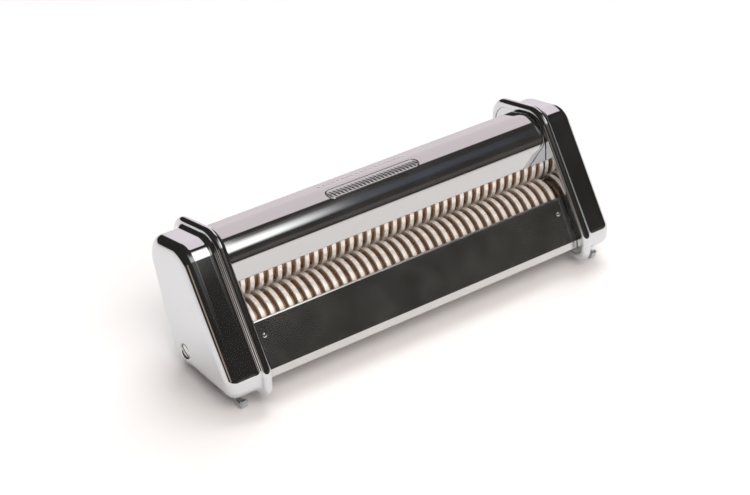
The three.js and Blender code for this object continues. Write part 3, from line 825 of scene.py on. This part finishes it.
def cap_screw(name, side):
    """Slotted screw with a shallow domed head."""
    crown = 0.6
    shank = 1.2
    head_edge = 0.1
    under_head = CAP_OUTER - SCREW_SINK
    shank_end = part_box("right_cap_screw")[0].x / MM
    profile = [(shank, shank_end), (shank, under_head)]
    profile += [(SCREW_RADIUS - head_edge, under_head), (SCREW_RADIUS, under_head + head_edge)]
    for point in arc(Vector((0, 0)), 1.0, 0, 90 - DOME_GAP, steps=7):
        profile.append((SCREW_RADIUS * point.x, CAP_OUTER - crown + crown * point.y))
    screw_part = on_side(closed_lathe(profile, SCREW_PLACE, segments=64), side)
    screw = new_piece(name + "_slotted", *screw_part)
    cut(screw, cutter(screw_slot(), side))
    flatten_shading(screw)
    finish(screw, "plated_steel", "housing", name)


def tie_rod(name, place):
    """Rod between the side plates, with thinner ends that go through them."""
    neck, tip = 1.7, 1.3
    shoulder_slope = 0.02
    chamfer = neck - tip
    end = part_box(name)[1].x / MM
    half = [(neck, PANEL_END + shoulder_slope), (neck, end - chamfer), (tip, end)]
    profile = [(radius, -z) for radius, z in reversed(half)]
    profile += [(ROD_RADIUS, -PANEL_END), (ROD_RADIUS, PANEL_END)]
    profile += half
    rod = new_piece(name + "_turned", *closed_lathe(profile, place, segments=40))
    flatten_shading(rod)
    finish(rod, "zinc_steel", "housing", name)


def comb_tube(place):
    """Tube of a comb round its tie rod."""
    bore, outside, chamfer = 2.3, 3.3, 0.2
    half = [(outside, PANEL_END - chamfer), (outside - chamfer, PANEL_END), (bore, PANEL_END)]
    profile = [(radius, -z) for radius, z in reversed(half)] + half
    return closed_lathe(profile, place, segments=40)


def comb(name, axis, place, ribs, tangent_side):
    """Scraper: a tube round its tie rod with a plate along the tangent to the roller's groove floors,
    whose fingers reach into the grooves."""
    thickness = 1.0
    tip_length, tip_thickness = 1.6, 0.3
    past_touch = 1.2
    floor_play, rib_play, crest_play = 0.35, 0.25, 0.7
    overlap = 0.5                # of each finger with the plate that joins them
    narrowest = 0.5              # a gap narrower than this between a rib and an end gets no finger
    spoke = place - axis
    touch = GROOVE_RADIUS + floor_play
    touch_angle = math.atan2(spoke.y, spoke.x) + tangent_side * math.acos(touch / spoke.length)
    outward = Vector((math.cos(touch_angle), math.sin(touch_angle)))
    along = Vector((-outward.y, outward.x)) * tangent_side
    reach = math.sqrt(spoke.length_squared - touch ** 2)
    root = math.sqrt(ROLLER_RADIUS ** 2 - touch ** 2) + crest_play
    at_touch = axis + outward * touch

    def plate(near, far, start, end, tip):
        """Slab between two distances from the touching point, thinned to a tip at the far end."""
        section = [
            at_touch - along * near, at_touch - along * far, at_touch - along * far + outward * tip,
            at_touch - along * (far + tip_length) + outward * thickness,
            at_touch - along * near + outward * thickness,
        ]
        return extrude(section, start, end, edge=0.1)

    parts = [comb_tube(place), plate(reach, root, -PANEL_END, PANEL_END, thickness)]
    clearance = RIB_WIDTH / 2 + rib_play
    edges = [-PANEL_END]
    for centre in rib_centres(ribs):
        edges += [centre - clearance, centre + clearance]
    edges.append(PANEL_END)
    for start, end in zip(edges[::2], edges[1::2]):
        if end - start > narrowest:
            parts.append(plate(root + overlap, past_touch, start, end, tip_thickness))
    piece = new_piece(name + "_fingers", *merge(*parts), sharp_degrees=30)
    finish(piece, "plated_steel", "housing", name)


def hook(name, side):
    """Bent strip with a turned-up end, and its foot, which reaches in to the side plate."""
    thickness = 2.0
    strip_corners = [
        (HOOK_BACK, 11.0, 0), (HOOK_BACK, -3.2, 2.4), (HOOK_BACK - 5.4, -3.2, 1.6),
        (HOOK_BACK - 6.4, -1.0, 0),
    ]
    outline = sheet_outline(bent_path(strip_corners, steps=8), thickness)
    strip = extrude(outline, HOOK_START, HOOK_END)
    low, high = 8.5, 10.5
    front = HOOK_BACK - thickness
    corner = 0.3
    foot_corners = [
        (front, low, corner), (front, high, corner), (HOOK_BACK, high, corner), (HOOK_BACK, low, corner),
    ]
    foot = extrude(rounded(foot_corners, steps=3), PLATE_OUTER + HOOK_PLAY, (HOOK_START + HOOK_END) / 2)
    piece = new_piece(name + "_bent", *on_side(merge(strip, foot), side))
    edge = piece.modifiers.new("edge", "BEVEL")
    edge.width = 0.25 * MM
    edge.segments = 3
    edge.limit_method = "ANGLE"
    edge.angle_limit = math.radians(50)
    apply_modifiers(piece)
    finish(piece, "zinc_steel", "housing", name)


def crank_socket():
    """Sleeve with a hexagonal socket and a chamfered mouth."""
    low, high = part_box("crank_socket")
    start, end = low.x / MM, high.x / MM
    chamfer = 0.4
    floor_thickness = 3.4
    mouth_radius, mouth_depth = HEXAGON_RADIUS + 0.4, 0.5
    inner_radius = HEXAGON_RADIUS - 0.2
    straight_mouth = 0.1         # how far past the end the mouth's cutter stops widening
    sleeve = [(SOCKET_RADIUS - chamfer, start), (SOCKET_RADIUS, start + chamfer)]
    sleeve += [(SOCKET_RADIUS, end - chamfer), (SOCKET_RADIUS - chamfer, end)]
    piece = new_piece("crank_socket_sleeve", *closed_lathe(sleeve, FRONT_AXIS, segments=64))
    hexagon = arc(FRONT_AXIS, HEXAGON_RADIUS, 0, 300, steps=5)
    cut(piece, cutter(extrude(hexagon, start + floor_thickness, end + CUT_PAST), 1))
    mouth = [(inner_radius, end - mouth_depth), (mouth_radius, end + straight_mouth)]
    mouth.append((mouth_radius, end + CUT_PAST))
    cut(piece, cutter(closed_lathe(mouth, FRONT_AXIS, segments=48), 1))
    flatten_shading(piece)
    finish(piece, "plated_steel", "front_roller", "crank_socket")


# ---------------------------------------------------------------- the object


def build_object():
    for word, side in (("left", -1), ("right", 1)):
        end_cap(f"{word}_end_cap", side)
        side_plate(f"{word}_side_plate", side)
        cap_screw(f"{word}_cap_screw", side)
        hook(f"{word}_hook", side)
        panel_rivet(f"{word}_panel_rivet", side)
    top_panel()
    badge()
    front_panel()
    roller("front_cutting_roller", "front_roller", FRONT_AXIS, REAR_RIBS - 1)
    roller("rear_cutting_roller", "rear_roller", REAR_AXIS, REAR_RIBS)
    crank_socket()
    for word, place in ROD_PLACES.items():
        tie_rod(f"{word}_tie_rod", place)
    comb("front_roller_comb", FRONT_AXIS, ROD_PLACES["lower"], REAR_RIBS - 1, 1)
    comb("rear_roller_comb", REAR_AXIS, ROD_PLACES["upper"], REAR_RIBS, -1)


def dress_hidden_nodes():
    """Materials for the CAD nodes that keep their own shape."""
    for node, piece in frame["nodes"].items():
        if not piece.hide_render:
            dress_node(node, SLOTS[node])


# ---------------------------------------------------------------- floor, light and camera


def floor():
    """Pale floor under the object."""
    mesh = bpy.data.meshes.new("floor")
    half = 3.0
    corners = [(-half, -half, 0), (half, -half, 0), (half, half, 0), (-half, half, 0)]
    mesh.from_pydata(corners, [], [(0, 1, 2, 3)])
    piece = bpy.data.objects.new("floor", mesh)
    bpy.context.scene.collection.objects.link(piece)
    material, nodes, links, principled = shader("pale_floor")
    place = nodes.new("ShaderNodeTexCoord").outputs["Object"]
    clouds = noise(nodes, links, place, scale=3)
    pale = mix_colour(nodes, links, clouds, (0.86, 0.85, 0.84), (0.88, 0.87, 0.86))
    links.new(pale, principled.inputs["Base Color"])
    principled.inputs["Roughness"].default_value = 0.9
    principled.inputs["Specular IOR Level"].default_value = 0.1
    mesh.materials.append(material)


def area_light(name, place, target, size, power, colour):
    """Soft square light that isn't itself seen in the chrome."""
    light = bpy.data.lights.new(name, "AREA")
    light.shape = "RECTANGLE"
    light.size = size
    light.size_y = size
    light.energy = power
    light.color = colour
    lamp = bpy.data.objects.new(name, light)
    lamp.location = place
    lamp.rotation_euler = (Vector(target) - Vector(place)).to_track_quat("-Z", "Y").to_euler()
    lamp.visible_glossy = False
    lamp.visible_camera = False
    bpy.context.scene.collection.objects.link(lamp)


def lights():
    """Cool light from behind on the right, and warmer light from above and from the front."""
    centre = (cad_box[0] + cad_box[1]) / 2
    area_light("key", (0.45, 0.50, 1.05), centre, size=0.9, power=9.2, colour=(0.95, 0.99, 1.0))
    area_light("top", (-0.05, -0.1, 1.3), centre, size=1.6, power=7.8, colour=(1.0, 0.935, 0.925))
    area_light("fill", (-0.2, -0.8, 0.8), centre, size=0.9, power=8.5, colour=(1.0, 0.93, 0.91))


def window(nodes, links, value, low, high, softness):
    """1 where a value lies between low and high, fading to 0 over the softness on both sides."""
    offset = nodes.new("ShaderNodeMath")
    offset.operation = "SUBTRACT"
    links.new(value, offset.inputs[0])
    offset.inputs[1].default_value = (low + high) / 2
    distance = nodes.new("ShaderNodeMath")
    distance.operation = "ABSOLUTE"
    links.new(offset.outputs["Value"], distance.inputs[0])
    mask = nodes.new("ShaderNodeMapRange")
    mask.interpolation_type = "SMOOTHSTEP"
    links.new(distance.outputs["Value"], mask.inputs["Value"])
    half = (high - low) / 2
    mask.inputs["From Min"].default_value = half - softness
    mask.inputs["From Max"].default_value = half + softness
    mask.inputs["To Min"].default_value = 1.0
    mask.inputs["To Max"].default_value = 0.0
    return mask.outputs["Result"]


def direction_cone(nodes, links, direction, centre, cosine, softness):
    """1 where a direction lies within a cone about centre, fading to 0 at its edge. The window lies evenly
    about 1, the highest cosine there is, so that only its lower end fades."""
    dot = nodes.new("ShaderNodeVectorMath")
    dot.operation = "DOT_PRODUCT"
    links.new(direction, dot.inputs[0])
    dot.inputs[1].default_value = Vector(centre).normalized()
    return window(nodes, links, dot.outputs["Value"], cosine, 2 - cosine, softness)


def multiply(nodes, links, first, second):
    node = nodes.new("ShaderNodeMath")
    node.operation = "MULTIPLY"
    links.new(first, node.inputs[0])
    links.new(second, node.inputs[1])
    return node.outputs["Value"]


def over(nodes, links, below, mask, colour):
    """Lays a plain colour over another by a mask."""
    node = nodes.new("ShaderNodeMix")
    node.data_type = "RGBA"
    links.new(mask, node.inputs["Factor"])
    links.new(below, node.inputs["A"])
    node.inputs["B"].default_value = (*colour, 1)
    return node.outputs["Result"]


def surroundings():
    """Studio round the object: a pale wall behind it to the right, a soft box in front, and a dark room."""
    world = bpy.data.worlds.new("studio")
    world.use_nodes = True
    nodes, links = world.node_tree.nodes, world.node_tree.links
    direction = nodes.new("ShaderNodeTexCoord").outputs["Generated"]
    parts = nodes.new("ShaderNodeSeparateXYZ")
    links.new(direction, parts.inputs["Vector"])
    x, y, z = (parts.outputs[axis] for axis in "XYZ")

    def panel(colour, x_range, y_range, z_range, light):
        """Lays a soft-edged light panel over a colour; each range is (low, high, softness)."""
        mask = window(nodes, links, x, *x_range)
        for part, limits in ((y, y_range), (z, z_range)):
            mask = multiply(nodes, links, mask, window(nodes, links, part, *limits))
        return over(nodes, links, colour, mask, light)

    dark_room = (0.021, 0.019, 0.016)
    pale_wall = (1.01, 0.91, 0.945)
    wall = direction_cone(nodes, links, direction, (0.45, 0.80, 0.40), cosine=0.671, softness=0.012)
    wall = multiply(nodes, links, wall, window(nodes, links, x, low=0.28, high=0.66, softness=0.05))
    colour = mix_colour(nodes, links, wall, dark_room, pale_wall)

    faint_blue = (0.06, 0.07, 0.09)
    dim_white = (0.60, 0.60, 0.58)
    white = (2.4, 2.4, 2.4)
    warm_white = (2.4, 2.4, 2.35)
    warm_grey = (0.10, 0.083, 0.075)
    # Seen along the far half of the ridge, on the caps' beads, along the near half of the ridge, on the
    # near cap's front corner, and low on the ridge.
    colour = panel(colour, (0.42, 0.56, 0.04), (-0.80, -0.25, 0.08), (0.60, 0.82, 0.08), faint_blue)
    colour = panel(colour, (-0.40, 0.42, 0.10), (-0.84, -0.10, 0.10), (0.61, 0.90, 0.09), dim_white)
    colour = panel(colour, (0.32, 0.455, 0.03), (-0.74, -0.26, 0.07), (0.61, 0.82, 0.09), white)
    colour = panel(colour, (0.30, 0.413, 0.012), (-0.84, -0.10, 0.08), (0.59, 0.92, 0.08), warm_white)
    colour = panel(colour, (0.00, 0.70, 0.20), (-1.20, -0.60, 0.05), (0.10, 0.30, 0.06), warm_grey)
    # A thin brown line along the near cap's front edge.
    strip = direction_cone(nodes, links, direction, (-0.85, -0.4, 0.2), cosine=0.992, softness=0.004)
    colour = over(nodes, links, colour, strip, (0.40, 0.31, 0.25))
    links.new(colour, nodes["Background"].inputs["Color"])
    bpy.context.scene.world = world


def camera():
    """Camera at front left and above."""
    distance = 0.7371
    aim_offset = Vector((-0.0094, -0.0033, 0.0003))
    data = bpy.data.cameras.new("camera")
    data.lens = 91.3
    data.sensor_width = 36.0
    eye = bpy.data.objects.new("camera", data)
    azimuth, elevation = math.radians(-35.54), math.radians(34.0)
    forward = Vector((
        -math.sin(azimuth) * math.cos(elevation),
        math.cos(azimuth) * math.cos(elevation),
        -math.sin(elevation),
    ))
    target = (cad_box[0] + cad_box[1]) / 2 + aim_offset
    eye.location = target - forward * distance
    eye.rotation_euler = forward.to_track_quat("-Z", "Y").to_euler()
    bpy.context.scene.collection.objects.link(eye)
    bpy.context.scene.camera = eye


build_object()
dress_hidden_nodes()
floor()
lights()
surroundings()
camera()
bpy.context.scene.view_settings.view_transform = "Standard"
